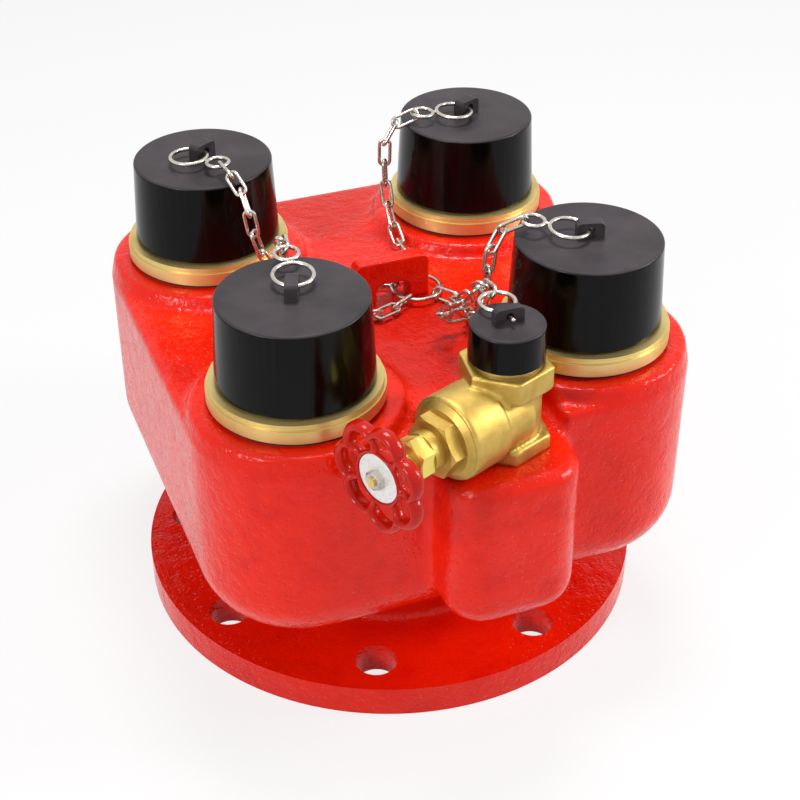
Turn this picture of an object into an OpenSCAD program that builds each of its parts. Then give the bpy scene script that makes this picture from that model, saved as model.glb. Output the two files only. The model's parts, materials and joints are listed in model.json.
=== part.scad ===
// Four-way dry riser inlet: a hollow cast body on a flange, four capped brass
// hose inlets with non-return valves, and a brass drain valve with a handwheel.
// The origin is the centre of the flange's underside and +Z points out of the
// inlets. The drain valve is at the front, towards -Y.

/* [Flange] */
// Outer diameter of the flange
flange_d = 285; // [270:1:300]
// Thickness of the flange
flange_t = 18; // [16:0.5:22]
// Pitch circle diameter of the bolt holes
bolt_pcd = 240; // [236:1:244]
// Diameter of each bolt hole
bolt_hole_d = 23; // [18:0.5:26]
// Number of bolt holes
bolt_count = 8; // [4:4:12]
// Angle of the first bolt hole from the right-hand side
bolt_turn = 20.65; // [0:0.05:45]

/* [Casting] */
// Half the distance between neighbouring inlet centres
inlet_offset = 78.6; // [77:0.2:82]
// Outer radius of the casting round each inlet
lobe_r = 56; // [55:0.5:58]
// Wall thickness of the casting
wall_t = 9; // [7:0.5:10]
// Height of the underside of the body above the flange's underside
belly_z = 59; // [56:1:62]
// Radius of the round edge under the body
belly_r = 30; // [24:1:34]
// Height of the flat plate between the inlets
plate_z = 173; // [171:0.5:175]
// Rise of each round inlet boss above the plate
boss_rise = 7; // [5:0.5:9]
// Width of the ledge round each inlet boss
boss_ledge = 1.5; // [1:0.25:2.5]
// Rounding of the casting's upper edges
edge_r = 3; // [2:0.5:4]
// Outer radius of the neck between flange and body
neck_r = 88; // [86:1:92]
// Radius of the bore through flange and neck
outlet_r = 75; // [70:1:77]
// Radius of the fillets at the neck's ends
neck_fillet_r = 6; // [4:0.5:8]

/* [Drain boss] */
// Sideways position of the drain valve's axis
drain_x = 10; // [8:0.5:12]
// Distance of the drain valve's axis in front of the body's centre
drain_y = 131; // [130:0.5:133]
// Height of the seat that the drain valve stands on
drain_seat_z = 164.5; // [163:0.5:166]
// Left side of the drain boss
drain_left_x = -28.5; // [-30:0.5:-27]
// Right side of the drain boss
drain_right_x = 42; // [40:0.5:46]
// Distance of the drain boss's front face in front of the body's centre
drain_front_y = 168.5; // [166:0.5:172]
// Height of the drain boss's underside
drain_bottom_z = 73; // [70:1:80]
// Radius of the drain boss's upright corners
drain_corner_r = 21; // [20:0.5:24]
// Radius of the round edge under the drain boss
drain_low_r = 19; // [15:0.5:20]
// Rounding of the drain boss's upper edge
drain_edge_r = 7; // [4:0.5:9]
// Distance of the valve pocket's rear wall in front of the body's centre
pocket_y = 104; // [102:0.5:105]

/* [Chain bridge] */
// Width of the cast bridge that the chains hang from
bridge_w = 42; // [38:1:46]
// Depth of the bridge
bridge_t = 10; // [8:0.5:12]
// Height of the bridge above the plate
bridge_h = 25; // [22:0.5:28]
// Sideways position of the bridge's centre
bridge_x = 2.5; // [0:0.5:5]
// Position of the bridge's centre along Y
bridge_y = 3.5; // [2:0.5:5]
// Width of the opening under the bridge
bridge_gap_w = 19; // [16:0.5:21]
// Height of the opening under the bridge
bridge_gap_h = 11; // [9:0.5:12]

/* [Inlets] */
// Thickness of each adaptor's flange
adaptor_flange_t = 10.5; // [9:0.25:12]
// Thickness of the gasket under each adaptor
gasket_t = 1.3; // [1:0.1:2]
// Length of each adaptor's spigot below the gasket
spigot_l = 24; // [22:0.5:26]
// Radius of each adaptor's nose
nose_r = 33.5; // [33:0.1:34]
// Height of each adaptor's nose above its flange
nose_h = 38.2; // [37:0.1:39]
// Wall of each adaptor's nose round the waterway
nose_wall_t = 5; // [4.5:0.25:6]
// Wall of each adaptor's threaded spigot
spigot_wall_t = 8.5; // [8:0.25:9.5]
// Reach of each adaptor's brass flange beyond its nose
adaptor_flange_w = 11.2; // [10.5:0.1:12]

/* [Non-return valves] */
// Overlap of the valve disc with its seat round the waterway
disc_lap = 4.5; // [4:0.25:5]
// Thickness of the valve disc
disc_t = 5; // [4:0.5:6]
// Thickness of the rubber seal on the valve disc
seal_t = 2; // [1.5:0.25:3]
// Radius of the valve's stem
stem_r = 4; // [3.5:0.25:4.5]
// Running clearance between stem and guide
stem_gap = 0.05; // [0.02:0.01:0.1]
// Length of the closing spring
spring_l = 22; // [20:0.5:24]
// Mean radius of the closing spring's coils
spring_r = 7.5; // [7:0.25:9]
// Radius of the closing spring's wire
spring_wire_r = 0.8; // [0.6:0.1:1]
// Number of turns in the closing spring
spring_turns = 4.5; // [4:0.5:5]

/* [Caps] */
// Clearance between each nose and the top end of its cap
cap_fit = 1; // [0.6:0.1:1.2]
// Widening of each cap from its top to its open end
cap_taper = 2.1; // [1.6:0.1:2.6]
// Height of each cap
cap_h = 43.8; // [43:0.1:44.5]
// Wall thickness of each cap
cap_wall_t = 3.4; // [2.5:0.1:3.6]
// Thickness of each cap's top
cap_top_t = 4; // [3:0.25:5]
// Gap between each cap's open end and the adaptor's flange
cap_gap = 1.7; // [1.2:0.1:2]
// Length of the eye on each cap
eye_l = 14; // [13:0.5:16]
// Thickness of the eye on each cap
eye_t = 6.5; // [5.5:0.25:7]
// Height of the eye on each cap
eye_h = 9; // [8:0.25:10]
// Diameter of the hole in each eye
eye_hole_d = 5; // [4:0.1:5]

/* [Drain valve] */
// Distance across the flats of the valve's hexagon ends
valve_af = 41; // [40:0.5:42]
// Height of the valve from its seat to its top
valve_h = 47.5; // [46:0.5:49]
// Height of the upper hexagon end
valve_hex_h = 13; // [12:0.5:14]
// Height of the lower hexagon end
valve_foot_h = 8.5; // [8:0.5:10]
// Height of the valve's stem above its seat
stem_rise = 20.5; // [20:0.5:22]
// Direction of the handwheel from the right-hand side
valve_turn = 202.5; // [201:0.5:204]
// Radius of the valve's upright tube
valve_tube_r = 18; // [17.5:0.25:19]
// Radius of the valve's barrel round the gate
barrel_r = 21.8; // [21:0.1:22.5]
// Distance from the valve's axis to the end of its barrel
barrel_l = 40.5; // [40:0.25:42]
// Radius of the bonnet's spigot in the barrel
bonnet_r = 16.5; // [16:0.25:17]
// Depth of the bonnet's spigot in the barrel
bonnet_depth = 8; // [7:0.5:9]
// Distance across the flats of the bonnet's hexagon
bonnet_af = 28; // [27:0.5:29]
// Radius of the bore that holds the stem's packing
gland_r = 7; // [6.75:0.05:7.25]
// Radius of the collar that keeps the stem in the bonnet
collar_r = 7.5; // [7.25:0.05:7.5]
// Radius of the waterway through the drain valve
drain_bore_r = 10.5; // [10:0.25:11]
// Inside radius of the pipes at the valve's ends
pipe_bore_r = 13.3; // [13:0.1:14]
// Radius of the pipe thread at the valve's ends
pipe_r = 16.6; // [16:0.1:17]
// Depth that the pipe ends go into the valve
pipe_depth = 12; // [10:0.5:14]
// Length of the nipple below the valve
nipple_l = 16; // [14:1:30]
// Wall thickness of the drain cap
drain_cap_wall_t = 1.65; // [1.4:0.05:2]
// Height of the drain cap
drain_cap_h = 18; // [17:0.25:19]

/* [Handwheel] */
// Outer radius of the handwheel
wheel_r = 29; // [28:0.25:29.25]
// Thickness of the handwheel's rim
wheel_t = 10.5; // [9:0.25:11]
// Number of lobes round the handwheel
wheel_lobes = 7; // [5:1:8]
// Radius of each lobe
wheel_lobe_r = 9.2; // [8.5:0.1:9.5]
// Depth of the recess in the handwheel's front
wheel_recess = 4.5; // [4:0.25:5]
// Radius of the disc in the recess
name_disc_r = 12.4; // [12:0.1:12.8]
// Thickness of the disc in the recess
name_disc_t = 1.4; // [1:0.1:1.6]
// Radius of the stem's end that holds the handwheel
stem_end_r = 2.5; // [2.25:0.05:2.75]
// Distance from the valve's axis to the handwheel's front
wheel_front = 87; // [85:0.25:88]
// Travel of the gate between closed and open
gate_lift = 22; // [21:0.5:22.5]

/* [Chains] */
// Outer length of a chain link
link_l = 17.5; // [16:0.25:19]
// Outer width of a chain link
link_w = 7.9; // [7:0.1:8.5]
// Diameter of the chain's wire
link_wire_d = 1.9; // [1.6:0.1:2.1]
// Diameter of the wire of the hooks and the ring
hook_wire_d = 2.2; // [2:0.1:2.4]
// Outer width of the large eye of each hook
hook_big_w = 22; // [20:0.5:24]
// Outer width of the small eye of each hook
hook_small_w = 14; // [12:0.25:15]

/* [Hidden] */
$fn = 96;
eps = 0.5;

// Inlets a, b, c and d: their places, and how each cap's eye is turned.
inlet_names = ["a", "b", "c", "d"];
inlet_xy = inlet_offset * [[-1, 1], [1, 1], [-1, -1], [1, -1]];
// Which way each cap's hook lies from its eye, then which way its chain leaves
eye_turns = [211, 204, 68, 164];
hook_turns = [312, 173, 82, 143];
hook_tilts = [2, 3, 4, 5];

// Everything round an inlet's nose follows the nose's radius.
waterway_r = nose_r - nose_wall_t;
spigot_r = waterway_r + spigot_wall_t;
adaptor_flange_r = nose_r + adaptor_flange_w;
disc_r = waterway_r + disc_lap;
cap_top_r = nose_r + cap_fit + cap_wall_t;
cap_rim_r = cap_top_r + cap_taper;

boss_top_z = plate_z + boss_rise;
flange_low_z = boss_top_z + gasket_t;
flange_top_z = flange_low_z + adaptor_flange_t;
nose_top_z = flange_top_z + nose_h;
seat_z = boss_top_z - spigot_l;
disc_top_z = seat_z - seal_t - 0.3;
hub_top_z = nose_top_z - 8 - spring_l;
hub_l = 12;
hub_r = 9;
cap_low_z = flange_top_z + cap_gap;
cap_top_z = cap_low_z + cap_h;
cap_seal_t = 2.5;

boss_r = lobe_r - boss_ledge;
stem_z = drain_seat_z + stem_rise;
valve_top_z = drain_seat_z + valve_h;
outlet_l = 12;
drain_cap_r = pipe_r + 0.15 + drain_cap_wall_t;
drain_cap_low_z = valve_top_z + 2.8;
drain_cap_top_z = drain_cap_low_z + drain_cap_h;
nut_front = barrel_l + 10;
gate_r = drain_bore_r + 1;
gate_t = 11;
gate_top = 17.5;
gate_space = barrel_l - 0.5;
hub_face = wheel_front - wheel_t - 3;

ring_r = 13.5;
link_bar = link_l - link_w;
link_pitch = link_l - 2 * link_wire_d - 0.8;
lie_z = plate_z + link_w / 2 + 0.1;
ring_centre = [bridge_x + bridge_gap_w / 2 + 5, bridge_y - 2.5, lie_z];

// ---- Small helpers -------------------------------------------------------

function along(p, s, i = 1) =
    let (step = norm(p[i] - p[i - 1]))
    i >= len(p) - 1 || s <= step
        ? p[i - 1] + (p[i] - p[i - 1]) * s / step
        : along(p, s - step, i + 1);
function run(p, i = 1) = i >= len(p) ? 0 : norm(p[i] - p[i - 1]) + run(p, i + 1);
function ring_point(turn, past = 1.15) =
    ring_centre + (ring_r - past) * [cos(turn), sin(turn), 0];
function smooth(p, i) = let (a = p[max(i - 1, 0)], b = p[i], c = p[i + 1], d = p[min(i + 2, len(p) - 1)])
    [for (t = [0:0.125:0.875]) 0.5 * (2 * b + t * (c - a)
        + t * t * (2 * a - 5 * b + 4 * c - d) + t * t * t * (3 * b - a - 3 * c + d))];
function curve(p) = concat([for (i = [0:len(p) - 2]) each smooth(p, i)], [p[len(p) - 1]]);

module at_inlet(i) { translate([inlet_xy[i].x, inlet_xy[i].y, 0]) children(); }

// Places a shape modelled along +Z from the drain valve's axis so that it
// points along the stem, at the stem's height.
module on_stem() {
    translate([drain_x, -drain_y, stem_z]) rotate([0, 90, valve_turn]) children();
}

module tube(r, l, bore) {
    difference() {
        cylinder(r = r, h = l);
        translate([0, 0, -eps]) cylinder(r = bore, h = l + 2 * eps);
    }
}

module hexagon(af, l) { cylinder(r = af / sqrt(3), h = l, $fn = 6); }

// A hexagon whose corners are turned back at the end z = l
module hex_nut(af, l, chamfer = 1.2) {
    corner = af / sqrt(3);
    intersection() {
        hexagon(af, l);
        union() {
            cylinder(r = corner + 1, h = l - chamfer);
            translate([0, 0, l - chamfer])
                cylinder(r1 = corner, r2 = corner - 1.8 * chamfer, h = chamfer);
        }
    }
}

// A wire ring, upright in the XZ plane or flat in the XY plane
module wire_ring(r, wire_d) {
    rotate_extrude() translate([r, 0]) circle(d = wire_d, $fn = 24);
}

// ---- Body ----------------------------------------------------------------

// Half section of the body's side: depth out to its face, rounded at both edges
module side_section(depth, low_z, top_z, low_r, top_r) {
    difference() {
        translate([0, low_z]) square([depth, top_z - low_z]);
        translate([depth - low_r, low_z + low_r]) difference() {
            translate([0, -low_r - 1]) square(low_r + 1);
            circle(r = low_r);
        }
        if (top_r > 0) translate([depth - top_r, top_z - top_r]) difference() {
            square(top_r + 1);
            circle(r = top_r);
        }
    }
}

// Rounded square block over the four inlets, with radius r at its corners
module four_lobed_block(r, low_z, top_z, low_r, top_r) {
    o = inlet_offset;
    translate([-o, -o, low_z]) cube([2 * o, 2 * o, top_z - low_z]);
    for (turn = [0:90:270]) rotate([0, 0, turn]) {
        translate([o, o, 0]) rotate_extrude(angle = 90)
            side_section(r, low_z, top_z, low_r, top_r);
        translate([o, o, 0]) rotate([90, 0, 0]) linear_extrude(2 * o)
            side_section(r, low_z, top_z, low_r, top_r);
    }
}

module neck_section() {
    r = neck_fillet_r;
    difference() {
        translate([0, flange_t]) square([neck_r + r, belly_z - flange_t]);
        translate([neck_r + r, flange_t + r]) circle(r = r);
        translate([neck_r + r, belly_z - r]) circle(r = r);
        translate([neck_r, flange_t + r]) square([2 * r, belly_z - flange_t - 2 * r]);
    }
}

// Block on the front wall under the drain valve, rounded at its front corners
module drain_boss() {
    c = drain_corner_r;
    w = drain_right_x - drain_left_x;
    d = drain_front_y - pocket_y;
    translate([drain_left_x + c, c - drain_front_y, 0]) {
        translate([0, 0, drain_bottom_z])
            cube([w - 2 * c, d - c, drain_seat_z - drain_bottom_z]);
        for (side = [0, 1]) translate([side * (w - 2 * c), 0, 0]) {
            rotate([0, 0, 180 + side * 90]) rotate_extrude(angle = 90) drain_boss_section();
            translate([0, side * (d - c), 0]) rotate([90, 0, 180 - side * 180])
                linear_extrude(d - c) drain_boss_section();
        }
        rotate([90, 0, 90]) mirror([1, 0, 0]) linear_extrude(w - 2 * c) drain_boss_section();
    }
}

module drain_boss_section() {
    side_section(drain_corner_r, drain_bottom_z, drain_seat_z, drain_low_r, drain_edge_r);
}

// Pocket in the plate and front wall that the drain valve stands in
module valve_pocket(grow = 0) {
    c = 8;
    w = drain_right_x - drain_left_x + 2 * grow;
    translate([drain_left_x - grow, -drain_front_y - 20, drain_seat_z - grow])
        linear_extrude(60) union() {
            square([w, drain_front_y + 20 - pocket_y - c]);
            translate([c, 0]) square([w - 2 * c, drain_front_y + 20 - pocket_y + grow]);
            for (x = [c, w - c])
                translate([x, drain_front_y + 20 - pocket_y - c + grow]) circle(r = c);
            square([w, drain_front_y + 20 - pocket_y - c + grow]);
        }
}

module chain_bridge() {
    r = 4;
    w = bridge_w;
    h = bridge_h;
    color("crimson") translate([bridge_x, bridge_y + bridge_t / 2, plate_z]) rotate([90, 0, 0])
        linear_extrude(bridge_t) difference() {
            union() {
                translate([-w / 2, 0]) square([w, h - r]);
                translate([-w / 2 + r, 0]) square([w - 2 * r, h]);
                for (x = [r - w / 2, w / 2 - r]) translate([x, h - r]) circle(r = r);
            }
            translate([-bridge_gap_w / 2, -eps])
                square([bridge_gap_w, bridge_gap_h - r + eps]);
            translate([-bridge_gap_w / 2 + r, -eps])
                square([bridge_gap_w - 2 * r, bridge_gap_h + eps]);
            for (x = [-1, 1]) translate([x * (bridge_gap_w / 2 - r), bridge_gap_h - r])
                circle(r = r);
        }
}

module riser_flange() {
    color("crimson") difference() {
        union() {
            cylinder(d = flange_d, h = flange_t, $fn = 180);
            rotate_extrude($fn = 180) neck_section();
        }
        translate([0, 0, -eps]) cylinder(r = outlet_r, h = belly_z + 2 * eps, $fn = 180);
        for (k = [0:bolt_count - 1])
            rotate([0, 0, bolt_turn + k * 360 / bolt_count])
                translate([bolt_pcd / 2, 0, -eps])
                    cylinder(d = bolt_hole_d, h = flange_t + 2 * eps);
    }
}

module body_casting() {
    color("crimson") difference() {
        union() {
            four_lobed_block(lobe_r, belly_z, plate_z, belly_r, edge_r);
            for (i = [0:3]) at_inlet(i) rotate_extrude()
                side_section(boss_r, plate_z - 20, boss_top_z, 1, edge_r);
            drain_boss();
        }
        difference() {
            four_lobed_block(lobe_r - wall_t, belly_z + wall_t, plate_z - wall_t,
                belly_r - wall_t, 0);
            valve_pocket(wall_t);
        }
        translate([0, 0, belly_z - eps]) cylinder(r = outlet_r, h = 2 * wall_t, $fn = 180);
        for (i = [0:3]) at_inlet(i) translate([0, 0, seat_z - 1])
            cylinder(r = spigot_r, h = 60);
        valve_pocket();
        on_stem() cylinder(r = barrel_r + 1.2, h = 62);
        translate([drain_x, -drain_y, drain_seat_z - 64]) cylinder(r = pipe_r, h = 64 + eps);
    }
}

module inlet_gaskets() {
    color("dimgray") for (i = [0:3]) at_inlet(i) translate([0, 0, boss_top_z])
        tube(adaptor_flange_r - 1.5, gasket_t, spigot_r);
}

// ---- Inlets --------------------------------------------------------------

// Half section of a hose adaptor: spigot, flange and grooved nose
module adaptor_section() {
    w = waterway_r;
    f = adaptor_flange_r;
    translate([w, seat_z]) square([spigot_r - w, flange_low_z - seat_z + 1]);
    translate([w, flange_low_z]) square([f - 1 - w, adaptor_flange_t - 1]);
    translate([w, flange_low_z + 1]) square([f - w, adaptor_flange_t - 4]);
    translate([w, flange_top_z - 1.6]) square([f - 1.2 - w, 1.6]);
    translate([w, flange_top_z - eps]) square([nose_r - 2 - w, nose_h - 2 + eps]);
    translate([w, flange_top_z - eps]) square([nose_r - w, nose_h - 18 + eps]);
    translate([w, nose_top_z - 12]) square([nose_r - w, 10]);
    translate([nose_r - 2, nose_top_z - 2]) circle(r = 2);
    translate([w, nose_top_z - 4]) square([nose_r - 2 - w, 4]);
}

module adaptor(i) {
    color("goldenrod") at_inlet(i) {
        rotate_extrude() adaptor_section();
        difference() {
            union() {
                translate([0, 0, hub_top_z - hub_l]) cylinder(r = hub_r, h = hub_l);
                for (turn = [60:120:300]) rotate([0, 0, turn])
                    translate([0, -2.5, hub_top_z - hub_l + 2])
                        cube([waterway_r + 1, 5, hub_l - 5]);
            }
            translate([0, 0, hub_top_z - hub_l - eps])
                cylinder(r = stem_r + stem_gap, h = hub_l + 2 * eps);
        }
    }
}

module valve_disc(i) {
    color("darkgoldenrod") at_inlet(i) {
        translate([0, 0, disc_top_z - disc_t]) cylinder(r = disc_r, h = disc_t);
        translate([0, 0, disc_top_z - eps]) cylinder(r1 = 14, r2 = stem_r, h = 12);
        translate([0, 0, disc_top_z - eps])
            cylinder(r = stem_r, h = nose_top_z - 2 - disc_top_z + eps);
        translate([0, 0, disc_top_z - disc_t - 3]) cylinder(r = 10, h = 3 + eps);
    }
}

module disc_seal(i) {
    color("dimgray") at_inlet(i) translate([0, 0, disc_top_z])
        tube(disc_r, seal_t, waterway_r - 4);
}

module closing_spring(i) {
    sides = 6;
    steps = 11;
    n = ceil(spring_turns * steps);
    low = hub_top_z + spring_wire_r + 0.05;
    rise = (spring_l - 2 * spring_wire_r - 0.1) / n;
    function ring_at(k) = [for (s = [0:sides - 1])
        let (turn = k * 360 / steps, out = spring_r + spring_wire_r * cos(s * 360 / sides))
        [out * cos(turn), out * sin(turn), low + k * rise + spring_wire_r * sin(s * 360 / sides)]];
    points = [for (k = [0:n]) each ring_at(k)];
    walls = [for (k = [0:n - 1], s = [0:sides - 1])
        let (a = k * sides + s, b = k * sides + (s + 1) % sides)
        [a, a + sides, b + sides, b]];
    ends = [[for (s = [0:sides - 1]) s], [for (s = [sides - 1:-1:0]) n * sides + s]];
    color("silver") at_inlet(i) polyhedron(points, concat(walls, ends));
}

module spring_nut(i) {
    color("goldenrod") at_inlet(i) translate([0, 0, hub_top_z + spring_l]) difference() {
        union() {
            cylinder(r = 11, h = 1.6);
            hexagon(13, 5.4);
        }
        translate([0, 0, -eps]) cylinder(r = stem_r, h = 8);
    }
}

// ---- Caps ----------------------------------------------------------------

// Half section of a cap: tapered skirt, thick top and a rounded upper edge
module cap_section(top_r, rim_r, h, wall, top_t) {
    round_r = 1.6;
    difference() {
        union() {
            polygon([[0, 0], [rim_r, 0], [top_r, h - round_r], [0, h - round_r]]);
            translate([0, h - round_r - eps]) square([top_r - round_r, round_r + eps]);
            translate([top_r - round_r, h - round_r]) circle(r = round_r);
        }
        translate([0, -eps])
            polygon([[0, 0], [rim_r - wall, 0], [top_r - wall, h - top_t + eps],
                [0, h - top_t + eps]]);
    }
}

// Upright eye that a hook hangs in, with its hole across the thickness
module cap_eye(l, t, h, hole_d) {
    r = 2.5;
    rotate([90, 0, 0]) translate([0, 0, -t / 2]) linear_extrude(t) difference() {
        union() {
            translate([-l / 2, -eps]) square([l, h - r + eps]);
            translate([-l / 2 + r, 0]) square([l - 2 * r, h]);
            for (x = [r - l / 2, l / 2 - r]) translate([x, h - r]) circle(r = r);
        }
        translate([0, h - 2 - hole_d / 2]) circle(d = hole_d);
    }
}

module cap(i) {
    color("#1a1718") at_inlet(i) {
        translate([0, 0, cap_low_z]) rotate_extrude()
            cap_section(cap_top_r, cap_rim_r, cap_h, cap_wall_t, cap_top_t);
        translate([0, 0, cap_top_z]) rotate([0, 0, eye_turns[i]])
            cap_eye(eye_l, eye_t, eye_h, eye_hole_d);
    }
}

module cap_seal(i) {
    color("dimgray") at_inlet(i) translate([0, 0, cap_top_z - cap_top_t - cap_seal_t])
        tube(nose_r, cap_seal_t, waterway_r);
}

// ---- Drain valve ---------------------------------------------------------

module drain_valve_body() {
    color("darkkhaki") difference() {
        union() {
            translate([drain_x, -drain_y, drain_seat_z]) {
                rotate([0, 0, valve_turn]) {
                    hex_nut(valve_af, valve_foot_h);
                    translate([0, 0, valve_h]) mirror([0, 0, 1])
                        hex_nut(valve_af, valve_hex_h);
                }
                translate([0, 0, 2]) cylinder(r = valve_tube_r, h = valve_h - 4);
            }
            on_stem() {
                cylinder(r = barrel_r - 1.3, h = barrel_l - 2);
                translate([0, 0, 18]) cylinder(r = barrel_r, h = barrel_l - 19);
                translate([0, 0, barrel_l - 1]) cylinder(r1 = barrel_r, r2 = barrel_r - 1, h = 1);
                translate([0, 0, -13]) cylinder(r1 = 13, r2 = barrel_r - 1.3, h = 13);
            }
        }
        translate([drain_x, -drain_y, drain_seat_z - eps]) {
            cylinder(r = drain_bore_r, h = valve_h + 2 * eps);
            cylinder(r = pipe_r, h = pipe_depth + eps);
            translate([0, 0, valve_h - pipe_depth + eps])
                cylinder(r = pipe_r, h = pipe_depth + eps);
        }
        on_stem() {
            gate_shape(gate_r + 0.3, gate_t + 0.6, gate_space);
            translate([0, 0, gate_r + 1.5]) cylinder(r = bonnet_r, h = barrel_l);
        }
    }
}

// The gate's outline: a disc round the valve's axis, and a straight part that
// reaches a distance l along the stem
module gate_shape(r, t, l) {
    rotate([0, 90, 0]) translate([0, 0, -t / 2]) {
        cylinder(r = r, h = t);
        translate([-l, -r, 0]) cube([l, 2 * r, t]);
    }
}

module drain_nipple() {
    color("goldenrod") translate([drain_x, -drain_y, drain_seat_z - nipple_l])
        tube(pipe_r, nipple_l + pipe_depth, pipe_bore_r);
}

module drain_outlet() {
    color("goldenrod") translate([drain_x, -drain_y, valve_top_z - pipe_depth])
        tube(pipe_r - 0.1, pipe_depth + outlet_l + drain_cap_low_z - valve_top_z, pipe_bore_r);
}

module bonnet() {
    color("darkgoldenrod") on_stem() difference() {
        union() {
            translate([0, 0, barrel_l - bonnet_depth]) cylinder(r = bonnet_r, h = bonnet_depth);
            translate([0, 0, barrel_l]) cylinder(r1 = barrel_r - 1.6, r2 = bonnet_r + 0.5, h = 2.4);
            translate([0, 0, barrel_l + 2.4]) rotate([0, 0, 30])
                hex_nut(bonnet_af, nut_front - barrel_l - 2.4);
            translate([0, 0, nut_front - 0.6]) cylinder(r = gland_r + 3.5, h = 6.6);
        }
        translate([0, 0, barrel_l - bonnet_depth - 1]) cylinder(r = bonnet_r - 2.1, h = 0.8 + bonnet_depth);
        translate([0, 0, barrel_l - 1]) cylinder(r = collar_r + 0.5, h = 6);
        cylinder(r = stem_r + stem_gap, h = nut_front + 10);
        translate([0, 0, nut_front - 2]) cylinder(r = gland_r, h = 10);
    }
}

module packing() {
    color("gray") on_stem() translate([0, 0, nut_front - 2])
        tube(gland_r, 5, stem_r + stem_gap);
}

module packing_nut() {
    color("khaki") on_stem() difference() {
        union() {
            translate([0, 0, nut_front + 3]) cylinder(r = gland_r - 0.05, h = 4);
            translate([0, 0, nut_front + 6]) hex_nut(19, 8.5);
        }
        cylinder(r = stem_r + stem_gap, h = nut_front + 20);
    }
}

module valve_stem() {
    color("khaki") on_stem() {
        translate([0, 0, gate_top - 4.5]) cylinder(r = stem_r, h = hub_face + 8 - gate_top + 4.5);
        translate([0, 0, barrel_l + 1.7]) cylinder(r = collar_r, h = 3);
        translate([0, 0, hub_face + 8 - eps])
            cylinder(r = stem_end_r, h = wheel_front + 1.5 - hub_face - 8 + eps);
    }
}

module gate_wedge() {
    color("darkkhaki") on_stem() difference() {
        gate_shape(gate_r, gate_t, gate_top);
        translate([0, 0, 2.3 - gate_r]) cylinder(r = stem_r + stem_gap, h = 40);
    }
}

// Lobed outline of the handwheel, in by a given distance
module wheel_outline(in = 0) {
    reach = wheel_r - wheel_lobe_r;
    circle(r = reach + 2 - in);
    for (k = [0:wheel_lobes - 1]) rotate(k * 360 / wheel_lobes)
        translate([reach, 0]) circle(r = wheel_lobe_r - in);
}

module handwheel() {
    rim_in = 3.3;
    hub = 8;
    color("red") on_stem() rotate([0, 0, 13]) translate([0, 0, wheel_front - wheel_t]) {
        difference() {
            union() {
                linear_extrude(wheel_t) wheel_outline();
                translate([0, 0, -3]) cylinder(r = hub, h = 4);
            }
            for (k = [0:wheel_lobes - 1]) rotate([0, 0, k * 360 / wheel_lobes])
                translate([0, 0, -eps]) linear_extrude(wheel_t + 2 * eps)
                    translate([wheel_r - wheel_lobe_r - 0.5, 0])
                        circle(r = wheel_lobe_r - rim_in);
            translate([0, 0, wheel_t - wheel_recess]) cylinder(r = name_disc_r + 0.5, h = 6);
            translate([0, 0, -4]) cylinder(r = stem_r, h = 9);
            cylinder(r = stem_end_r, h = wheel_t);
        }
    }
}

module name_disc() {
    color("gainsboro") on_stem() translate([0, 0, wheel_front - wheel_recess])
        tube(name_disc_r, name_disc_t, stem_end_r);
}

module wheel_nut() {
    color("goldenrod") on_stem() translate([0, 0, wheel_front - wheel_recess + name_disc_t]) difference() {
        hex_nut(9, 3.6, 0.6);
        translate([0, 0, -eps]) cylinder(r = stem_end_r, h = 6);
    }
}

module drain_cap() {
    color("#1a1718") translate([drain_x, -drain_y, drain_cap_low_z]) {
        rotate_extrude() cap_section(drain_cap_r, drain_cap_r + 0.4, drain_cap_h,
            drain_cap_wall_t, 3);
        translate([0, 0, drain_cap_h]) cap_eye(15, 4.5, 8, 4);
    }
}

module drain_cap_seal() {
    color("dimgray") translate([drain_x, -drain_y, drain_cap_top_z - 3 - 2.4])
        tube(pipe_r - 0.3, 2.4, drain_bore_r);
}

// ---- Hooks, ring and chains ----------------------------------------------

// A bent wire hook with its large eye round the origin and its small eye
// towards +X
module wire_hook() {
    wire_ring(hook_big_r, hook_wire_d);
    translate([hook_reach, 0, 0]) wire_ring(hook_small_r, hook_wire_d);
    translate([hook_big_r, 0, 0]) rotate([0, 90, 0])
        cylinder(d = hook_wire_d - 0.3, h = hook_wire_d + 0.6, $fn = 24);
}

// One oval chain link lying along +Z in the XZ plane
module chain_link() {
    r = (link_w - link_wire_d) / 2;
    for (side = [-1, 1]) {
        translate([side * r, 0, -link_bar / 2])
            cylinder(d = link_wire_d, h = link_bar, $fn = 24);
        translate([0, 0, side * link_bar / 2]) rotate([90, side < 0 ? 180 : 0, 0])
            rotate_extrude(angle = 180) translate([r, 0])
                circle(d = link_wire_d, $fn = 24);
    }
}

// Links end to end along a route, each turned about a quarter turn from the
// last. The first and last stand nearly on edge, to hold the rings they are on.
module chain(route, side) {
    way = curve(route);
    total = run(way);
    count = ceil(total / link_pitch);
    turn = 90 * (count - 1 + (count - 1) % 2) / (count - 1);
    for (k = [0:count - 1]) {
        a = along(way, total * k / count);
        b = along(way, total * (k + 1) / count);
        mid = (a + b) / 2;
        z = (b - a) / norm(b - a);
        x = cross(side, z) / norm(cross(side, z));
        y = cross(z, x);
        multmatrix([[x.x, y.x, z.x, mid.x], [x.y, y.y, z.y, mid.y], [x.z, y.z, z.z, mid.z],
            [0, 0, 0, 1]]) rotate([0, 0, 30 + turn * k]) chain_link();
    }
}

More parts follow.
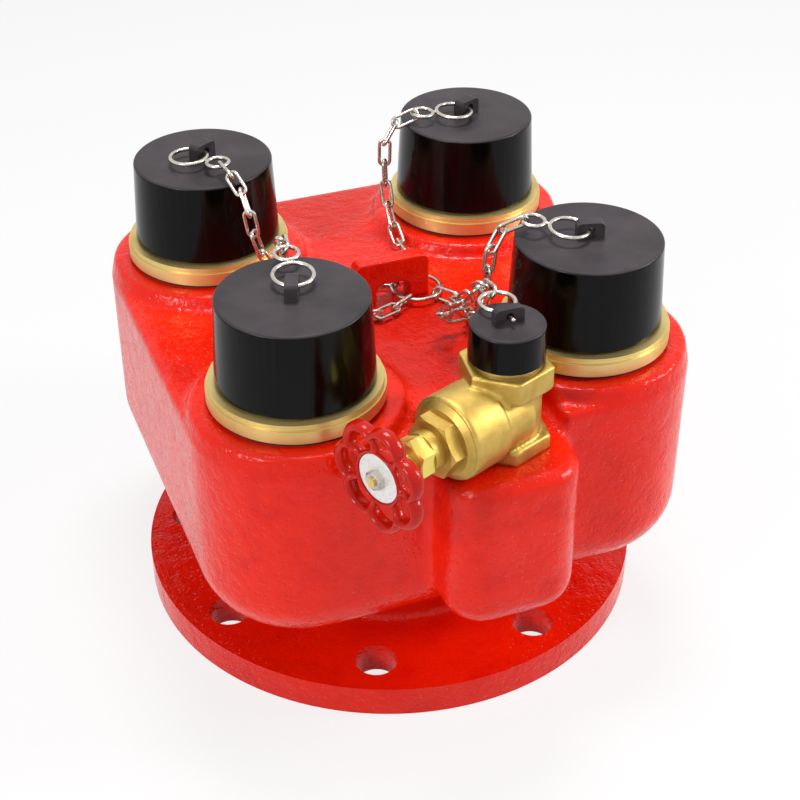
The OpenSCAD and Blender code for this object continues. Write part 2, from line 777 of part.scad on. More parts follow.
// A hook's large eye swings in the cap's eye at arm's length; its small eye
// is one hook length further along.
hook_big_r = (hook_big_w - hook_wire_d) / 2;
hook_small_r = (hook_small_w - hook_wire_d) / 2;
hook_reach = hook_big_r + hook_small_r + hook_wire_d + 0.6;
eye_hole_z = cap_top_z + eye_h - 2 - eye_hole_d / 2;
function level(turn) = [cos(turn), sin(turn), 0];
function hook_centre(i) = [inlet_xy[i].x, inlet_xy[i].y, eye_hole_z]
    + (hook_big_r + 0.6) * level(eye_turns[i])
    + [0, 0, hook_big_r * sin(hook_tilts[i]) * abs(cos(eye_turns[i] - hook_turns[i]))];
function hook_end(i, turn) = hook_centre(i) + hook_reach * level(hook_turns[i]) * cos(hook_tilts[i])
    + [0, 0, hook_reach * sin(hook_tilts[i])] + (hook_small_r - 1.15) * level(turn);

edge_z = cap_top_z + 5;
routes = [
    [hook_end(0, 285), [-73, 44, edge_z + 0.3], [-71, 34, edge_z - 3.2], [-69.5, 26, edge_z - 10.5],
        [-68.5, 24.5, edge_z - 20], [-66, 24, 210], [-61, 23, 197], [-53, 21, 185],
        [-43, 18, lie_z + 1.5], [-31, 16, lie_z], [-18, 17, lie_z], [-5, 16, lie_z],
        ring_point(140)],
    [hook_end(1, 183), [34, 76.3, edge_z - 2.6], [27.6, 76, edge_z - 12.2], [26.8, 75.5, edge_z - 24],
        [26.6, 74.5, 208], [26.6, 71, 196], [26.4, 62, 184], [25.8, 51, lie_z + 1.5],
        [26, 40, lie_z], [23, 28, lie_z], ring_point(85)],
    [hook_end(2, 78), [-69.3, -36, edge_z + 0.4], [-68, -26.6, edge_z - 5.8], [-67, -23.2, edge_z - 16.5],
        [-65.5, -24.5, 212], [-62, -24, 199], [-55, -22.5, 187], [-45, -20.5, lie_z + 2.5],
        [-33, -18, lie_z], [-20, -17.5, lie_z], [-8, -18, lie_z], ring_point(-132)],
    [hook_end(3, 158), [39.5, -60, edge_z - 1.8], [33.6, -60.8, edge_z - 9], [31.6, -61, edge_z - 20],
        [31, -60.5, 209], [30.4, -57.5, 197.5], [29.8, -51, 187.5], [31, -41.5, lie_z + 1.9],
        [34, -29.5, lie_z], [32, -18, lie_z], ring_point(-48)]];
chain_sides = [[0.93, 0.37, 0], [-0.45, 0.89, 0], [1, 0, 0], [-0.83, 0.56, 0]];
drain_hook_r = 8.6;
drain_hook_at = [drain_x, 3.6 + drain_hook_r - drain_y, drain_cap_top_z + 4];
drain_route = [drain_hook_at + [1, drain_hook_r - 1.15, 0.4], [11.5, -99.5, 235], [12.5, -89.5, 227.5],
    [13, -79.5, 217.5], [12.5, -69.5, 208], [10.5, -60, 199], [10, -51, 190.5],
    [16, -45.2, 184.6], [29.2, -43.9, 183.2]];

module bridge_ring() {
    color("silver") translate(ring_centre) rotate_extrude()
        translate([ring_r, 0]) circle(d = hook_wire_d, $fn = 24);
}

module inlet_hook(i) {
    color("silver") translate(hook_centre(i))
        rotate([0, -hook_tilts[i], hook_turns[i]]) wire_hook();
}

module inlet_chain(i) { color("silver") chain(routes[i], chain_sides[i]); }

// An open hook: a wire loop behind the drain cap's eye with its end through it
module drain_hook() {
    r = drain_hook_r;
    color("silver") translate(drain_hook_at) {
        wire_ring(r, hook_wire_d);
        translate([0, -r, 0]) rotate([90, 0, 0])
            cylinder(d = hook_wire_d - 0.2, h = 9, $fn = 24);
        translate([0, -r - 9, 0]) sphere(d = hook_wire_d, $fn = 24);
    }
}

module drain_chain() { color("silver") chain(drain_route, [1, 0, 0]); }

// ---- The object ----------------------------------------------------------

riser_flange();
body_casting();
chain_bridge();
inlet_gaskets();
for (i = [0:3]) {
    tail = inlet_names[i];
    adaptor(i);
    valve_disc(i);
    disc_seal(i);
    closing_spring(i);
    spring_nut(i);
    cap(i);
    cap_seal(i);
    inlet_hook(i);
    inlet_chain(i);
}
bridge_ring();
drain_valve_body();
drain_nipple();
drain_outlet();
bonnet();
packing();
packing_nut();
valve_stem();
gate_wedge();
handwheel();
name_disc();
wheel_nut();
drain_cap();
drain_cap_seal();
drain_hook();
drain_chain();
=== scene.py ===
"""Four-way riser inlet with caps, chains and a drain valve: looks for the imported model."""
import json
import math

import bmesh
import bpy
import numpy
from mathutils import Matrix, Vector


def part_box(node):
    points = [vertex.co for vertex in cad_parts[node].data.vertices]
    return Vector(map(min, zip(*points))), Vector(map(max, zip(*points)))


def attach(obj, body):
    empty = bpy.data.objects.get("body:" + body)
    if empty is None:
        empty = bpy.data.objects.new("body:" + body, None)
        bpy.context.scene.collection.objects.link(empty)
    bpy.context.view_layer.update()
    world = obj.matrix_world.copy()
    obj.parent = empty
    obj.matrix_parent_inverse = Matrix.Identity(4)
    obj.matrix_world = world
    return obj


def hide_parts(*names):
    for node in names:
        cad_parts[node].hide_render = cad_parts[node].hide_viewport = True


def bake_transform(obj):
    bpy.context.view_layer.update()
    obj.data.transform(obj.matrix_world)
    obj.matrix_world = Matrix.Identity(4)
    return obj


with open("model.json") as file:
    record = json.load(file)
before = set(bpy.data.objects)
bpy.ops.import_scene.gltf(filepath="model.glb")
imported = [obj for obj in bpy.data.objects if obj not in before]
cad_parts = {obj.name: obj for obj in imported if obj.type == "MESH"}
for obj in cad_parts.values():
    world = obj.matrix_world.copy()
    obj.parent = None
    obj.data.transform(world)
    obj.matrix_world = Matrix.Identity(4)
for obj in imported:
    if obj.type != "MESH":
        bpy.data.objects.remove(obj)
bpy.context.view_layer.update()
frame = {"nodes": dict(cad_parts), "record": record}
record = frame["record"]
nodes = frame["nodes"]

# The four inlets and where each one stands.
SIDE = {"a": "rear_left", "b": "rear_right", "c": "front_left", "d": "front_right"}

# From a cap's open edge up to its flat top, below the eye, in metres.
CAP_H = 0.0438
DRAIN_CAP_H = 0.018

# Corners of the frame's loose triangles that are this close are one corner.
MERGE = 2e-6

# Edges that turn by fewer degrees than this are shaded round.
CREASE = 35.0

WHITE = (1, 1, 1, 1)


# ---- Node trees ----------------------------------------------------------

class Value:
    """A socket that takes part in arithmetic, with other sockets or plain numbers."""

    def __init__(self, tree, out):
        self.tree, self.out = tree, out

    def _math(self, operation, *terms):
        node = self.tree.nodes.new("ShaderNodeMath")
        node.operation = operation
        for i, term in enumerate(terms):
            wire(self.tree, node.inputs[i], term)
        return Value(self.tree, node.outputs[0])

    def __add__(self, other):
        return self._math("ADD", self, other)

    def __radd__(self, other):
        return self._math("ADD", other, self)

    def __mul__(self, other):
        return self._math("MULTIPLY", self, other)

    def __rmul__(self, other):
        return self._math("MULTIPLY", other, self)

    def most(self, other):
        """The larger of the two."""
        return self._math("MAXIMUM", self, other)


def wire(tree, socket, value):
    """Links a socket to a Value or sets it to a plain one, and leaves it alone for None."""
    if isinstance(value, Value):
        tree.links.new(value.out, socket)
    elif value is not None:
        socket.default_value = value


class Plan:
    """A node tree under construction."""

    def __init__(self, tree):
        self.tree = tree

    def add(self, kind, settings=None, inputs=None):
        """A node, with its settings made first and then its sockets filled or linked."""
        node = self.tree.nodes.new(kind)
        for key, value in (settings or {}).items():
            setattr(node, key, value)
        for key, value in (inputs or {}).items():
            wire(self.tree, node.inputs[key], value)
        return node

    def node(self, kind, settings=None, inputs=None, output=0):
        """One output of a new node."""
        return Value(self.tree, self.add(kind, settings, inputs).outputs[output])


class Finish(Plan):
    """A material under construction: its nodes, coordinates and shader."""

    def __init__(self, name):
        self.material = bpy.data.materials.new(name)
        self.material.use_nodes = True
        super().__init__(self.material.node_tree)
        self.tree.nodes.clear()
        self.shader = self.add("ShaderNodeBsdfPrincipled")
        self.end = self.add("ShaderNodeOutputMaterial")
        self.tree.links.new(self.shader.outputs[0], self.end.inputs[0])
        self.place = self.node("ShaderNodeTexCoord", output="Object")

    def noise(self, scale, detail, roughness, at=None):
        """Cloudy noise from 0 to 1, with this many waves to the metre."""
        return self.node("ShaderNodeTexNoise", inputs={"Vector": at or self.place, "Scale": scale,
            "Detail": detail, "Roughness": roughness}, output="Fac")

    def stretched(self, x, y, z):
        """The place with each axis scaled by itself."""
        return self.node("ShaderNodeMapping", inputs={"Vector": self.place, "Scale": (x, y, z)})

    def height(self):
        """The place's Z."""
        return self.node("ShaderNodeSeparateXYZ", inputs={"Vector": self.place}, output="Z")

    def step(self, value, low, high, start=0.0, end=1.0):
        """Goes smoothly from start to end as the value goes from low to high."""
        return self.node("ShaderNodeMapRange", {"interpolation_type": "SMOOTHSTEP"},
            {"Value": value, "From Min": low, "From Max": high, "To Min": start, "To Max": end})

    def blend(self, share, first, second):
        """A colour that is the first at share 0 and the second at share 1."""
        colours = [c if isinstance(c, Value) else (*c, 1) for c in (first, second)]
        return self.node("ShaderNodeMix", {"data_type": "RGBA"},
            {0: share, 6: colours[0], 7: colours[1]}, output=2)

    def bump(self, height, distance, strength, under=None):
        """A normal that rises with height, on top of the one under it."""
        return self.node("ShaderNodeBump", inputs={"Height": height, "Distance": distance,
            "Strength": strength, "Normal": under}, output="Normal")

    def set(self, **inputs):
        """Fills the shader's sockets and gives the finished material."""
        for key, value in inputs.items():
            if isinstance(value, tuple) and len(value) == 3:
                value = (*value, 1)
            wire(self.tree, self.shader.inputs[key.replace("_", " ")], value)
        return self.material


# ---- Finishes ------------------------------------------------------------

def red_enamel(name, pits=0.0010, grain=1.0, dark=1.0):
    """Gloss enamel sprayed over a sand casting: lumpy and dimpled, with painted shade in the dips of
    its lumps.
    """
    f = Finish(name)
    sand = f.noise(210.0 * grain, 4.0, 0.62)
    lumps = f.noise(62.0 * grain, 3.0, 0.55)
    swell = f.noise(11.0, 2.0, 0.5)
    specks = f.node("ShaderNodeTexVoronoi", {"feature": "F1"},
        {"Vector": f.place, "Scale": 330.0 * grain}, output="Distance")
    dimples = f.step(specks, 0.05, 0.35) * 0.35
    thin_coat = (0.80 * dark, 0.011 * dark, 0.0010)
    thick_coat = (0.85 * dark, 0.015 * dark, 0.0012)
    # Painted shade: a darker red where the lumps dip, standing in for the shade that falls in the
    # hollows.
    shaded_hollows = (0.74 * dark, 0.008 * dark, 0.0009)
    coat = f.blend(f.step(swell, 0.3, 0.72), thin_coat, thick_coat)
    waves = f.bump(lumps, pits * 2.4, 0.5, f.bump(swell, 0.0030, 0.5))
    return f.set(Base_Color=f.blend(f.step(lumps, 0.25, 0.55), shaded_hollows, coat),
        Roughness=f.step(sand, 0.25, 0.75, 0.10, 0.26), Specular_IOR_Level=0.24,
        Normal=f.bump(sand + dimples, pits, 0.6, waves))


def turned_brass(name, clean=(0.76, 0.61, 0.26), stained=(0.64, 0.47, 0.16), rough=0.34):
    """Brass with the fine rings that a lathe leaves, by height along the piece."""
    f = Finish(name)
    rings = f.noise(1.0, 2.0, 0.5, f.stretched(6.0, 6.0, 2600.0))
    stain = f.noise(26.0, 4.0, 0.6)
    return f.set(Base_Color=f.blend(f.step(stain, 0.35, 0.75), clean, stained), Metallic=0.88,
        Roughness=f.step(stain + rings * 0.5, 0.4, 1.0, rough, rough + 0.14),
        Anisotropic=0.6, Anisotropic_Rotation=0.25, Normal=f.bump(rings, 0.00006, 0.5))


def cast_brass(name, clean=(0.58, 0.405, 0.110), handled=(0.44, 0.29, 0.062), rough=0.48):
    """Blasted brass: a matt grain with no direction, browner where it is handled."""
    f = Finish(name)
    grain = f.noise(900.0, 3.0, 0.7)
    lumps = f.noise(90.0, 3.0, 0.6)
    return f.set(Base_Color=f.blend(f.step(lumps, 0.3, 0.75), clean, handled), Metallic=1.0,
        Roughness=f.step(grain, 0.2, 0.8, rough - 0.08, rough + 0.1),
        Normal=f.bump(grain, 0.00012, 0.5, f.bump(lumps, 0.0005, 0.35)))


def black_plastic(name, top):
    """Moulded black plastic: glossy sides with faint drag marks, and a rougher top painted a paler
    grey as a sheen of the light from above.
    """
    f = Finish(name)
    drag = f.noise(1.0, 3.0, 0.6, f.stretched(420.0, 420.0, 9.0))
    cloud = f.noise(30.0, 3.0, 0.6)
    scuff = f.noise(420.0, 4.0, 0.7)
    face = f.step(f.height(), top - 0.0012, top - 0.0004)
    side = f.blend(f.step(drag, 0.45, 0.8), (0.0016, 0.0013, 0.0013), (0.0050, 0.0036, 0.0034))
    # Painted sheen: the top is a paler grey than the sides, standing in for the light it catches
    # from above.
    painted_top_sheen = f.blend(f.step(cloud, 0.3, 0.75), (0.034, 0.028, 0.031), (0.062, 0.052, 0.057))
    return f.set(Base_Color=f.blend(face, side, painted_top_sheen),
        Roughness=f.step(cloud, 0.3, 0.8, 0.12, 0.22) + face * (0.24 + scuff * 0.12),
        Specular_IOR_Level=0.14,
        Normal=f.bump(scuff, 0.00007, 0.5, f.bump(drag, 0.00008, 0.6)))


def bright_wire(name):
    """Nickel-plated wire, a little uneven from the drawing die."""
    f = Finish(name)
    wear = f.noise(300.0, 3.0, 0.6)
    return f.set(Base_Color=f.blend(f.step(wear, 0.4, 0.8), (0.60, 0.56, 0.51), (0.34, 0.30, 0.26)),
        Metallic=1.0, Roughness=f.step(wear, 0.3, 0.8, 0.20, 0.36),
        Normal=f.bump(wear, 0.00008, 0.4))


def moulded_rubber(name, shade=0.018):
    """Matt grey or black rubber, with a paler bloom in patches."""
    f = Finish(name)
    bloom = f.noise(220.0, 3.0, 0.6)
    return f.set(Base_Color=f.blend(f.step(bloom, 0.4, 0.8), (shade,) * 3, (shade * 2,) * 3),
        Roughness=f.step(bloom, 0.3, 0.8, 0.55, 0.75), Normal=f.bump(bloom, 0.0001, 0.5))


def pale_disc(name):
    """Pale lacquered aluminium with a fine grain."""
    f = Finish(name)
    grain = f.noise(700.0, 2.0, 0.5)
    return f.set(Base_Color=f.blend(f.step(grain, 0.4, 0.8), (0.80, 0.80, 0.79), (0.68, 0.68, 0.67)),
        Metallic=0.35, Roughness=f.step(grain, 0.3, 0.8, 0.30, 0.42),
        Normal=f.bump(grain, 0.00005, 0.4))


# By the record's material slot.
FINISHES = {
    "red_enamel": red_enamel("Red_enamel"),
    "red_paint": red_enamel("Red_wheel_paint", pits=0.00016, grain=1.6, dark=0.66),
    "machined_brass": turned_brass("Turned_brass"),
    "cast_brass": cast_brass("Cast_brass"),
    "dull_brass": cast_brass("Dull_brass", (0.62, 0.46, 0.20), (0.5, 0.36, 0.14), 0.42),
    "black_plastic": black_plastic("Black_plastic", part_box("cap_a")[0].z + CAP_H),
    "black_rubber": moulded_rubber("Black_rubber"),
    "grey_packing": moulded_rubber("Grey_packing", 0.16),
    "bright_steel": bright_wire("Bright_wire"),
    "pale_aluminium": pale_disc("Pale_disc"),
}

# Nodes whose finish differs from the rest of their slot.
OWN_FINISH = {
    "packing_nut": turned_brass("Lemon_brass", (0.82, 0.68, 0.16), (0.70, 0.54, 0.10), 0.24),
    "drain_cap": black_plastic("Black_plastic_drain_cap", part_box("drain_cap")[0].z + DRAIN_CAP_H),
    "wheel_nut": bright_wire("Chrome_nut"),
}

slot_of = {s["node"]: s["material_slot"] for s in record["subparts"]}
for name, node in nodes.items():
    for slot in node.material_slots:
        slot.material = OWN_FINISH.get(name, FINISHES[slot_of[name]])


# ---- Mesh helpers --------------------------------------------------------

def smooth(mesh, crease):
    """Shades a mesh round, except across edges that turn by more degrees than crease."""
    mesh.shade_smooth()
    bm = bmesh.new()
    bm.from_mesh(mesh)
    limit = math.radians(crease)
    for edge in bm.edges:
        edge.smooth = len(edge.link_faces) != 2 or edge.calc_face_angle(0) < limit
    bm.to_mesh(mesh)
    bm.free()


def keep_mesh(name, bm, finish, crease=CREASE):
    """A finished object at the origin from a bmesh, smooth where its faces meet gently."""
    mesh = bpy.data.meshes.new(name)
    bm.normal_update()
    bm.to_mesh(mesh)
    bm.free()
    piece = bpy.data.objects.new(name, mesh)
    bpy.context.scene.collection.objects.link(piece)
    mesh.materials.append(finish)
    smooth(mesh, crease)
    return piece


def merged(node):
    """A bmesh of a CAD node, with the corners that meet made one."""
    bm = bmesh.new()
    bm.from_mesh(nodes[node].data)
    bmesh.ops.remove_doubles(bm, verts=bm.verts, dist=MERGE)
    return bm


def settle(piece):
    """Turns a piece with live modifiers into a plain mesh."""
    graph = bpy.context.evaluated_depsgraph_get()
    mesh = bpy.data.meshes.new_from_object(piece.evaluated_get(graph))
    piece.modifiers.clear()
    piece.data = mesh


def fused(piece, cell, passes):
    """Closes overlapping solids under one skin of this cell size and rounds it over."""
    finish = piece.data.materials[0]
    skin = piece.modifiers.new("Skin", "REMESH")
    skin.mode, skin.voxel_size, skin.adaptivity = "VOXEL", cell, 0.0
    skin.use_smooth_shade = True
    relax = piece.modifiers.new("Relax", "SMOOTH")
    relax.factor, relax.iterations = 0.5, passes
    settle(piece)
    if not piece.data.materials:
        piece.data.materials.append(finish)
    piece.data.shade_smooth()
    return piece


# ---- Castings ------------------------------------------------------------

def casting(node, name, slot, cell, passes):
    """A skin over a CAD node, with the soft edges of a casting, in the node's place."""
    piece = fused(keep_mesh(name, merged(node), FINISHES[slot], 180.0), cell, passes)
    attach(piece, "inlet_body")
    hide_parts(node)


casting("body_casting", "Cast_body", "red_enamel", cell=0.0023, passes=3)
casting("chain_bridge", "Cast_chain_bridge", "red_enamel", cell=0.0006, passes=9)
casting("drain_valve_body", "Cast_valve_body", "cast_brass", cell=0.0009, passes=5)


# ---- Handwheel -----------------------------------------------------------

LOBES = 7
# From a lobe's tip in to the valley beside it.
LOBE_DIP = 0.0054
# Below 1, this makes the lobes broad and the valleys between them sharp.
LOBE_BREADTH = 0.7
RIM_HALF_W = 0.0027
RIM_HALF_DEPTH = 0.0040
# The rim's face lies this far behind the wheel's front.
RIM_SETBACK = 0.0002
SPOKE_R = 0.0021
HUB_R = 0.0146
# The lip round the recess that holds the disc in the hub's front.
HUB_LIP = 0.0018
RECESS_DEPTH = 0.0045
STEM_HOLE_R = 0.0026
BOSS_R = 0.0080
WHEEL_CELL = 0.00055


class Spindle:
    """Places round the handwheel's axis, from the joint and the CAD wheel."""

    def __init__(self, joint, node):
        facts = next(j for j in record["behaviour"]["joints"] if j["name"] == joint)
        self.pivot = Vector(facts["pos_m"])
        self.out = Vector(facts["axis"]).normalized()
        spots = [v.co - self.pivot for v in nodes[node].data.vertices]
        if sum(p.dot(self.out) for p in spots) < 0:
            self.out = -self.out
        self.front = max(p.dot(self.out) for p in spots)
        self.back = min(p.dot(self.out) for p in spots)
        tip = max(spots, key=lambda p: (p - self.out * p.dot(self.out)).length)
        radial = tip - self.out * tip.dot(self.out)
        self.reach = radial.length
        self.side = radial.normalized()
        self.up = self.out.cross(self.side)

    def at(self, radius, turn, depth):
        """A point at this radius and turn, this far behind the wheel's front."""
        flat = self.side * math.cos(turn) + self.up * math.sin(turn)
        return self.pivot + flat * radius + self.out * (self.front - depth)


def turns(count):
    """Angles spread evenly round a circle."""
    return [2 * math.pi * i / count for i in range(count)]


def skin_between(bm, loops):
    """Faces between each closed loop of corners and the next."""
    for one, two in zip(loops, loops[1:]):
        for i in range(len(one)):
            j = (i + 1) % len(one)
            bm.faces.new((one[i], one[j], two[j], two[i]))


def closed_ring(bm, sections):
    """Joins closed sections, each a list of points, into a closed ring."""
    loops = [[bm.verts.new(p) for p in section] for section in sections]
    skin_between(bm, loops + loops[:1])


def capped_bar(bm, sections):
    """A bar through sections from end to end, closed at both ends."""
    loops = [[bm.verts.new(p) for p in section] for section in sections]
    skin_between(bm, loops)
    bm.faces.new(list(reversed(loops[0])))
    bm.faces.new(loops[-1])


def wheel_rim(bm, spindle, valley):
    """An oval bar that swings out to a broad lobe between each two valleys."""
    sections = []
    for turn in turns(LOBES * 26):
        off_tip = (turn + math.pi / LOBES) % (2 * math.pi / LOBES) - math.pi / LOBES
        swing = max(0.0, math.cos(off_tip * LOBES / 2)) ** LOBE_BREADTH
        radius = valley + LOBE_DIP * swing
        middle = RIM_HALF_DEPTH + RIM_SETBACK
        sections.append([spindle.at(radius + RIM_HALF_W * math.cos(a), turn,
            middle + RIM_HALF_DEPTH * math.sin(a)) for a in turns(14)])
    closed_ring(bm, sections)


def wheel_spokes(bm, spindle, valley):
    """Oval spokes from the hub to the valleys, narrowest just outside the hub."""
    # Distance out, width and depth in spoke radii, and distance behind the front.
    stations = (
        (HUB_R - 0.001, 1.3, 1.6, 0.0056),
        (HUB_R + 0.003, 0.95, 1.4, 0.0052),
        (valley, 1.1, 1.7, 0.0042))
    for i in range(LOBES):
        turn = 2 * math.pi * (i + 0.5) / LOBES
        sections = []
        for radius, wide, deep, behind in stations:
            across = [SPOKE_R * wide * math.cos(a) for a in turns(12)]
            depth = [behind + SPOKE_R * deep * math.sin(a) for a in turns(12)]
            sections.append([spindle.at(math.hypot(radius, x), turn + math.atan2(x, radius), d)
                for x, d in zip(across, depth)])
        capped_bar(bm, sections)


def wheel_hub(bm, spindle):
    """A turned hub with a recess for the disc in front and a boss behind."""
    back = spindle.front - spindle.back
    recess_r = HUB_R - HUB_LIP
    profile = [(STEM_HOLE_R, back), (BOSS_R, back), (BOSS_R, back - 0.0032),
        (HUB_R - 0.0035, back - 0.0040), (HUB_R - 0.0004, 0.0068), (HUB_R, 0.0030),
        (HUB_R - 0.0006, 0.0020), (HUB_R - 0.0014, 0.0020), (recess_r, 0.0026),
        (recess_r, RECESS_DEPTH), (STEM_HOLE_R, RECESS_DEPTH)]
    closed_ring(bm, [[spindle.at(r, turn, d) for r, d in profile] for turn in turns(96)])


def lobed_handwheel():
    """The handwheel's rim, spokes and hub, run together as one casting."""
    spindle = Spindle("handwheel_turn", "handwheel")
    valley = spindle.reach - RIM_HALF_W - LOBE_DIP
    bm = bmesh.new()
    wheel_rim(bm, spindle, valley)
    wheel_spokes(bm, spindle, valley)
    wheel_hub(bm, spindle)
    bmesh.ops.recalc_face_normals(bm, faces=bm.faces)
    piece = keep_mesh("Lobed_handwheel", bm, FINISHES["red_paint"])
    return fused(piece, WHEEL_CELL, passes=5)


wheel = lobed_handwheel()
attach(wheel, "handwheel")
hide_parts("handwheel")


# ---- Chains and springs, by Geometry Nodes -------------------------------

# Half the spring's wire, so that its coils end inside the CAD spring's box.
SPRING_END = 0.0008


class Recipe(Plan):
    """A Geometry Nodes tree under construction, with named inputs for its sizes."""

    def __init__(self, name, sizes):
        super().__init__(bpy.data.node_groups.new(name, "GeometryNodeTree"))
        face = self.tree.interface
        face.new_socket("Geometry", in_out="INPUT", socket_type="NodeSocketGeometry")
        for label, value in sizes.items():
            kind = "NodeSocketInt" if isinstance(value, int) else "NodeSocketFloat"
            face.new_socket(label, in_out="INPUT", socket_type=kind).default_value = value
        face.new_socket("Finish", in_out="INPUT", socket_type="NodeSocketMaterial")
        face.new_socket("Geometry", in_out="OUTPUT", socket_type="NodeSocketGeometry")
        start = self.add("NodeGroupInput")
        self.given = {o.name: Value(self.tree, o) for o in start.outputs if o.name}

    def swept(self, path, capped=False):
        """Round wire along a path, by the recipe's Wire and Sides."""
        ring = self.node("GeometryNodeCurvePrimitiveCircle",
            inputs={"Resolution": self.given["Sides"], "Radius": self.given["Wire"] * 0.5})
        return self.node("GeometryNodeCurveToMesh",
            inputs={"Curve": path, "Profile Curve": ring, "Fill Caps": capped})

    def finish(self, shape):
        """Ends the tree with real, smooth geometry in the given finish."""
        real = self.node("GeometryNodeRealizeInstances", inputs={"Geometry": shape})
        faces = self.node("GeometryNodeSetShadeSmooth", inputs={"Geometry": real})
        coated = self.node("GeometryNodeSetMaterial",
            inputs={"Geometry": faces, "Material": self.given["Finish"]})
        self.add("NodeGroupOutput", inputs={0: coated})
        return self.tree


def link_recipe():
    """An oval link on every point, turned by the point's own lie."""
    r = Recipe("Chain_links", {"Length": 0.0156, "Width": 0.006, "Wire": 0.0019, "Sides": 10})
    g = r.given
    oblong = r.node("GeometryNodeCurvePrimitiveQuadrilateral",
        inputs={"Width": g["Length"], "Height": g["Width"]})
    # Just under half the width, so that an end's two rounded corners don't run together.
    rounded = r.node("GeometryNodeFilletCurve", {"mode": "POLY"}, {"Curve": oblong,
        "Radius": g["Width"] * 0.499, "Count": 7, "Limit Radius": True})
    lie = r.node("GeometryNodeInputNamedAttribute", {"data_type": "QUATERNION"}, {"Name": "lie"})
    links = r.node("GeometryNodeInstanceOnPoints",
        inputs={"Points": g["Geometry"], "Instance": r.swept(rounded), "Rotation": lie})
    return r.finish(links)


def spring_recipe():
    """A coil that rises from every point."""
    r = Recipe("Closing_spring", {"Turns": 4.5, "Radius": 0.0075, "Height": 0.0203,
        "Wire": 0.0016, "Sides": 8})
    g = r.given
    coil = r.node("GeometryNodeCurveSpiral", inputs={"Resolution": 28, "Rotations": g["Turns"],
        "Start Radius": g["Radius"], "End Radius": g["Radius"], "Height": g["Height"],
        "Reverse": True})
    springs = r.node("GeometryNodeInstanceOnPoints",
        inputs={"Points": g["Geometry"], "Instance": r.swept(coil, capped=True)})
    return r.finish(springs)


def made(name, recipe, spots, lies=(), **sizes):
    """The plain mesh that a recipe makes on these spots, in bright wire."""
    bm = bmesh.new()
    for spot in spots:
        bm.verts.new(spot)
    finish = FINISHES["bright_steel"]
    piece = keep_mesh(name, bm, finish)
    if lies:
        stored = piece.data.attributes.new("lie", "QUATERNION", "POINT")
        for datum, lie in zip(stored.data, lies):
            datum.value = lie
    modifier = piece.modifiers.new("Recipe", "NODES")
    modifier.node_group = recipe
    for item in recipe.interface.items_tree:
        if item.in_out == "INPUT" and item.name == "Finish":
            modifier[item.identifier] = finish
        elif item.in_out == "INPUT" and item.name in sizes:
            modifier[item.identifier] = sizes[item.name]
    settle(piece)
    return piece


def separate_solids(node):
    """The corners of each solid of a node, as one list of points for each."""
    bm = merged(node)
    bm.verts.ensure_lookup_table()
    seen, solids = set(), []
    for start in bm.verts:
        if start.index in seen:
            continue
        seen.add(start.index)
        queue, solid = [start], []
        while queue:
            vert = queue.pop()
            solid.append(vert.co.copy())
            for edge in vert.link_edges:
                other = edge.other_vert(vert)
                if other.index not in seen:
                    seen.add(other.index)
                    queue.append(other)
        solids.append(solid)
    bm.free()
    return solids


def lie_of(points):
    """Centre and turn of an oval link: X along it, Y across it, Z through it."""
    spots = numpy.array(points)
    centre = (spots.max(0) + spots.min(0)) / 2
    spread = numpy.cov((spots - spots.mean(0)).T)
    ways = numpy.linalg.eigh(spread)[1]
    along, across = Vector(ways[:, 2]), Vector(ways[:, 1])
    through = along.cross(across)
    turn = Matrix((along, across, through)).transposed().to_quaternion()
    return Vector(centre), turn


def chain(node, name):
    """Round links where the CAD's are."""
    places = [lie_of(solid) for solid in separate_solids(node)]
    piece = made(name, links, [centre for centre, _ in places], [lie for _, lie in places])
    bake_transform(piece)
    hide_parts(node)


def closing_spring(node, name):
    """A coil with its foot on the guide, as tall as the CAD spring."""
    low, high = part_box(node)
    foot = ((low.x + high.x) / 2, (low.y + high.y) / 2, low.z + SPRING_END)
    piece = made(name, coils, [foot], Height=high.z - low.z - 2 * SPRING_END)
    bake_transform(piece)
    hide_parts(node)


links, coils = link_recipe(), spring_recipe()
for tail, side in SIDE.items():
    chain("chain_" + tail, "Chain_" + side)
chain("drain_chain", "Chain_drain")
for tail, side in SIDE.items():
    closing_spring("spring_" + tail, "Closing_spring_" + side)


# ---- Studio --------------------------------------------------------------

FLOOR_REACH = 4
# Just under the flange, so that the two faces don't coincide.
FLOOR_Z = -0.0005
LAMPS_AIM = (0, 0, 0.15)
WORLD_LIGHT = 0.27


def looked_at(plan):
    """1 where the camera, gloss or glass looks, and 0 where light falls."""
    path = plan.add("ShaderNodeLightPath")
    camera, gloss, glass = (Value(plan.tree, path.outputs["Is %s Ray" % kind])
        for kind in ("Camera", "Glossy", "Transmission"))
    return camera.most(gloss).most(glass)


def pale_backdrop(name, shade, glow):
    """A pale floor that shows mostly as plain white where it is looked at, and keeps a shadow."""
    f = Finish(name)
    f.set(Base_Color=(shade, shade, shade), Roughness=0.9, Specular_IOR_Level=0.1)
    lit = Value(f.tree, f.shader.outputs[0])
    white = f.node("ShaderNodeEmission", inputs={"Color": WHITE})
    mixed = f.node("ShaderNodeMixShader", inputs={0: looked_at(f) * glow, 1: lit, 2: white})
    wire(f.tree, f.end.inputs[0], mixed)
    return f.material


def flat_floor(name, finish):
    """A square sheet under the object."""
    bm = bmesh.new()
    corners = ((-1, -1), (1, -1), (1, 1), (-1, 1))
    bm.faces.new([bm.verts.new((x * FLOOR_REACH, y * FLOOR_REACH, FLOOR_Z)) for x, y in corners])
    keep_mesh(name, bm, finish)


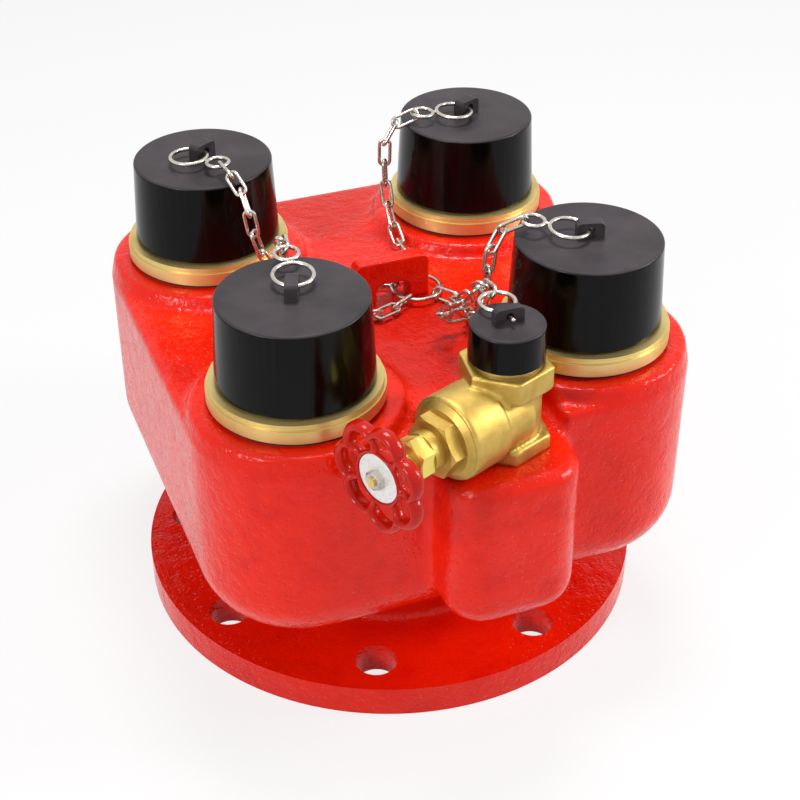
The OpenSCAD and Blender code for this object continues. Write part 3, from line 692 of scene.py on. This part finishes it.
def area_lamp(name, place, size, power):
    """A rectangular lamp of this width and height in metres, aimed at the object."""
    lamp = bpy.data.lights.new(name, "AREA")
    lamp.shape = "RECTANGLE"
    lamp.size, lamp.size_y = size
    lamp.energy = power
    holder = bpy.data.objects.new(name, lamp)
    bpy.context.scene.collection.objects.link(holder)
    holder.location = place
    aim = Vector(LAMPS_AIM) - Vector(place)
    holder.rotation_euler = aim.to_track_quat("-Z", "Y").to_euler()


def white_world(name, light):
    """A world that lights the object at one strength and is looked at as plain white."""
    world = bpy.data.worlds.new(name)
    bpy.context.scene.world = world
    world.use_nodes = True
    plan = Plan(world.node_tree)
    plan.tree.nodes.clear()
    lit = plan.node("ShaderNodeBackground", inputs={"Color": WHITE, "Strength": light})
    shown = plan.node("ShaderNodeBackground", inputs={"Color": WHITE, "Strength": 1.0})
    mixed = plan.node("ShaderNodeMixShader", inputs={0: looked_at(plan), 1: lit, 2: shown})
    plan.add("ShaderNodeOutputWorld", inputs={0: mixed})


flat_floor("Floor", pale_backdrop("Pale_floor", shade=0.82, glow=0.80))
area_lamp("Overhead_softbox", (0.1, 0.25, 1.5), (0.45, 0.32), 13)
area_lamp("Left_softbox", (-1.3, -0.7, 0.9), (0.3, 0.55), 12)
area_lamp("Right_softbox", (1.2, -0.5, 0.8), (0.25, 0.55), 12)
white_world("White_studio", WORLD_LIGHT)

# The camera stands front left of the object and looks down on it.
CAMERA_PLACE = (-0.27109, -0.71234, 0.63348)
CAMERA_RIGHT = (0.93155, -0.36362, 0.0)
CAMERA_AHEAD = (0.29907, 0.76618, -0.56879)

camera = bpy.data.cameras.new("Camera")
camera.lens = 72.93
camera.sensor_width = 36.0
camera.clip_end = 20
view = bpy.data.objects.new("Camera", camera)
bpy.context.scene.collection.objects.link(view)
right = Vector(CAMERA_RIGHT).normalized()
ahead = Vector(CAMERA_AHEAD).normalized()
turned = Matrix((right, right.cross(ahead), -ahead)).transposed().to_4x4()
view.matrix_world = Matrix.Translation(CAMERA_PLACE) @ turned
bpy.context.scene.camera = view
bpy.context.scene.view_settings.view_transform = "Standard"
